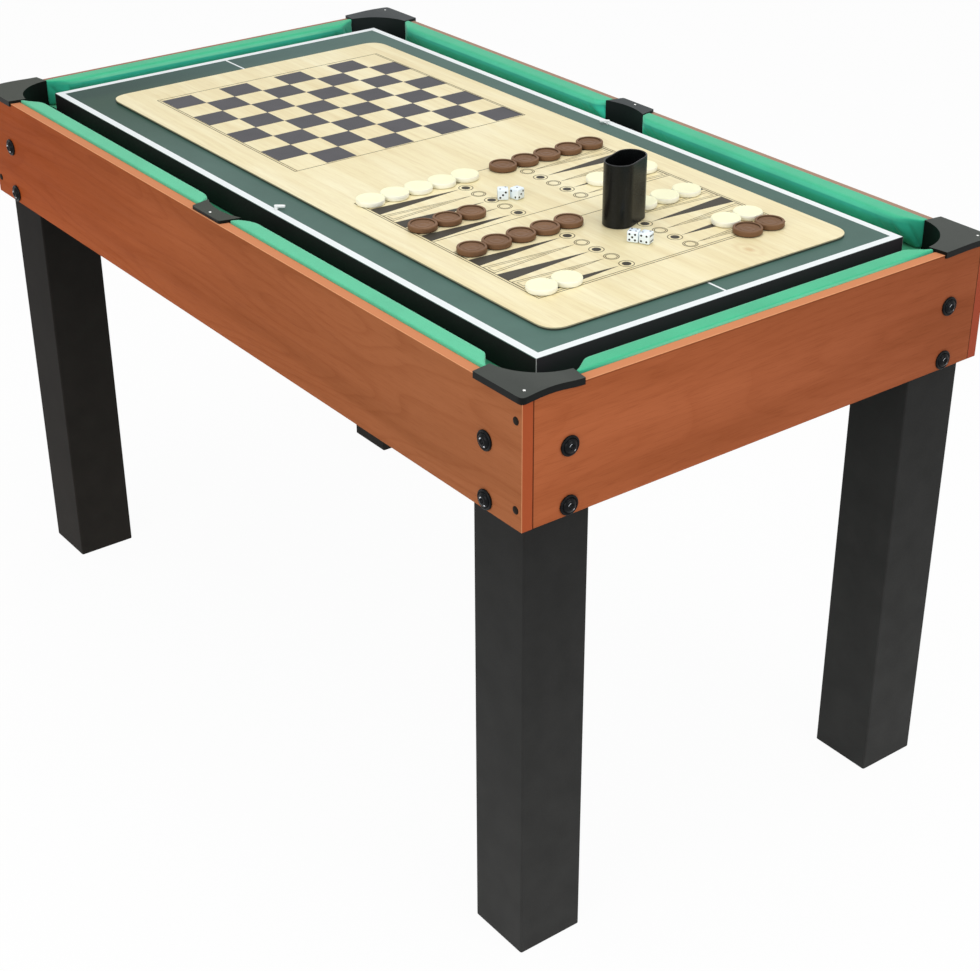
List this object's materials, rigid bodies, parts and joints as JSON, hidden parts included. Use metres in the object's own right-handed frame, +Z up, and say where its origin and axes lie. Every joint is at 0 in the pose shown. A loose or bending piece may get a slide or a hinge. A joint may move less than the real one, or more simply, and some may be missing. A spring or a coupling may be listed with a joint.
{
  "type": "multi game table",
  "caption": "Free-standing game table: pool table base on square legs, a lift-off tennis board on the bed, and a chess and backgammon board with checkers, dice and cup on top.",
  "frame": {"origin": "on the floor, under the middle of the table", "axes": "+X along the table towards the backgammon end, +Y across it to the far long side, +Z up"},
  "size_m": [1.3856, 0.7756, 0.8976],
  "materials": {
    "cherry_laminate": "satin cherry wood-grain laminate over board",
    "black_laminate": "satin black laminate over board",
    "cloth_on_board": "green playing cloth over board",
    "bare_wood": "plain sawn softwood",
    "cushion_cloth": "green playing cloth over a rubber nose",
    "black_plastic": "satin charcoal moulded plastic",
    "black_steel": "black oxide steel",
    "green_board": "dark green painted board with white lines",
    "white_plastic": "white moulded plastic",
    "maple_board": "pale maple-coloured printed board",
    "cup_plastic": "satin black moulded plastic",
    "dice_white": "glossy white with black pips",
    "ivory_plastic": "satin ivory",
    "brown_wood": "satin brown"
  },
  "bodies": {
    "table": {"side_apron_near": "cherry_laminate", "side_apron_far": "cherry_laminate", "end_apron_right": "cherry_laminate", "end_apron_left": "cherry_laminate", "leg_right_near": "black_laminate", "leg_right_far": "black_laminate", "leg_left_far": "black_laminate", "leg_left_near": "black_laminate", "pool_bed": "cloth_on_board", "bed_batten_left": "bare_wood", "bed_batten_right": "bare_wood", "cushion_right_near": "cushion_cloth", "cushion_left_near": "cushion_cloth", "cushion_left_far": "cushion_cloth", "cushion_right_far": "cushion_cloth", "cushion_end_right": "cushion_cloth", "cushion_end_left": "cushion_cloth", "corner_pocket_right_near": "black_plastic", "corner_pocket_right_far": "black_plastic", "corner_pocket_left_far": "black_plastic", "corner_pocket_left_near": "black_plastic", "side_pocket_near": "black_plastic", "side_pocket_far": "black_plastic", "side_bolt_right_near_upper": "black_steel", "side_bolt_right_near_lower": "black_steel", "end_bolt_right_near_upper": "black_steel", "end_bolt_right_near_lower": "black_steel", "side_bolt_right_far_upper": "black_steel", "side_bolt_right_far_lower": "black_steel", "end_bolt_right_far_upper": "black_steel", "end_bolt_right_far_lower": "black_steel", "side_bolt_left_far_upper": "black_steel", "side_bolt_left_far_lower": "black_steel", "end_bolt_left_far_upper": "black_steel", "end_bolt_left_far_lower": "black_steel", "side_bolt_left_near_upper": "black_steel", "side_bolt_left_near_lower": "black_steel", "end_bolt_left_near_upper": "black_steel", "end_bolt_left_near_lower": "black_steel"},
    "tennis_board": {"tennis_board": "green_board", "net_hook_near": "white_plastic", "net_hook_far": "white_plastic"},
    "game_board": {"game_board": "maple_board"},
    "dice_cup": {"dice_cup": "cup_plastic"},
    "die_1": {"die_1": "dice_white"},
    "die_2": {"die_2": "dice_white"},
    "die_3": {"die_3": "dice_white"},
    "die_4": {"die_4": "dice_white"},
    "ivory_row_1": {"ivory_row_1": "ivory_plastic"},
    "brown_row_1": {"brown_row_1": "brown_wood"},
    "brown_row_2": {"brown_row_2": "brown_wood"},
    "ivory_row_2": {"ivory_row_2": "ivory_plastic"},
    "brown_row_3": {"brown_row_3": "brown_wood"},
    "ivory_row_3": {"ivory_row_3": "ivory_plastic"},
    "ivory_row_4": {"ivory_row_4": "ivory_plastic"},
    "ivory_row_5": {"ivory_row_5": "ivory_plastic"},
    "brown_row_4": {"brown_row_4": "brown_wood"}
  },
  "joints": [
    {"name": "tennis_board_lift", "type": "slide", "parent": "table", "child": "tennis_board", "axis": [0, 0, 1], "range_m": [0, 0.08]},
    {"name": "game_board_lift", "type": "slide", "parent": "tennis_board", "child": "game_board", "axis": [0, 0, 1], "range_m": [0, 0.06]},
    {"name": "dice_cup_lift", "type": "slide", "parent": "game_board", "child": "dice_cup", "axis": [0, 0, 1], "range_m": [0, 0.1]},
    {"name": "die_1_lift", "type": "slide", "parent": "game_board", "child": "die_1", "axis": [0, 0, 1], "range_m": [0, 0.1]},
    {"name": "die_2_lift", "type": "slide", "parent": "game_board", "child": "die_2", "axis": [0, 0, 1], "range_m": [0, 0.1]},
    {"name": "die_3_lift", "type": "slide", "parent": "game_board", "child": "die_3", "axis": [0, 0, 1], "range_m": [0, 0.1]},
    {"name": "die_4_lift", "type": "slide", "parent": "game_board", "child": "die_4", "axis": [0, 0, 1], "range_m": [0, 0.1]},
    {"name": "ivory_row_1_lift", "type": "slide", "parent": "game_board", "child": "ivory_row_1", "axis": [0, 0, 1], "range_m": [0, 0.1]},
    {"name": "brown_row_1_lift", "type": "slide", "parent": "game_board", "child": "brown_row_1", "axis": [0, 0, 1], "range_m": [0, 0.1]},
    {"name": "brown_row_2_lift", "type": "slide", "parent": "game_board", "child": "brown_row_2", "axis": [0, 0, 1], "range_m": [0, 0.1]},
    {"name": "ivory_row_2_lift", "type": "slide", "parent": "game_board", "child": "ivory_row_2", "axis": [0, 0, 1], "range_m": [0, 0.1]},
    {"name": "brown_row_3_lift", "type": "slide", "parent": "game_board", "child": "brown_row_3", "axis": [0, 0, 1], "range_m": [0, 0.1]},
    {"name": "ivory_row_3_lift", "type": "slide", "parent": "game_board", "child": "ivory_row_3", "axis": [0, 0, 1], "range_m": [0, 0.1]},
    {"name": "ivory_row_4_lift", "type": "slide", "parent": "game_board", "child": "ivory_row_4", "axis": [0, 0, 1], "range_m": [0, 0.1]},
    {"name": "ivory_row_5_lift", "type": "slide", "parent": "game_board", "child": "ivory_row_5", "axis": [0, 0, 1], "range_m": [0, 0.1]},
    {"name": "brown_row_4_lift", "type": "slide", "parent": "game_board", "child": "brown_row_4", "axis": [0, 0, 1], "range_m": [0, 0.1]}
  ]
}
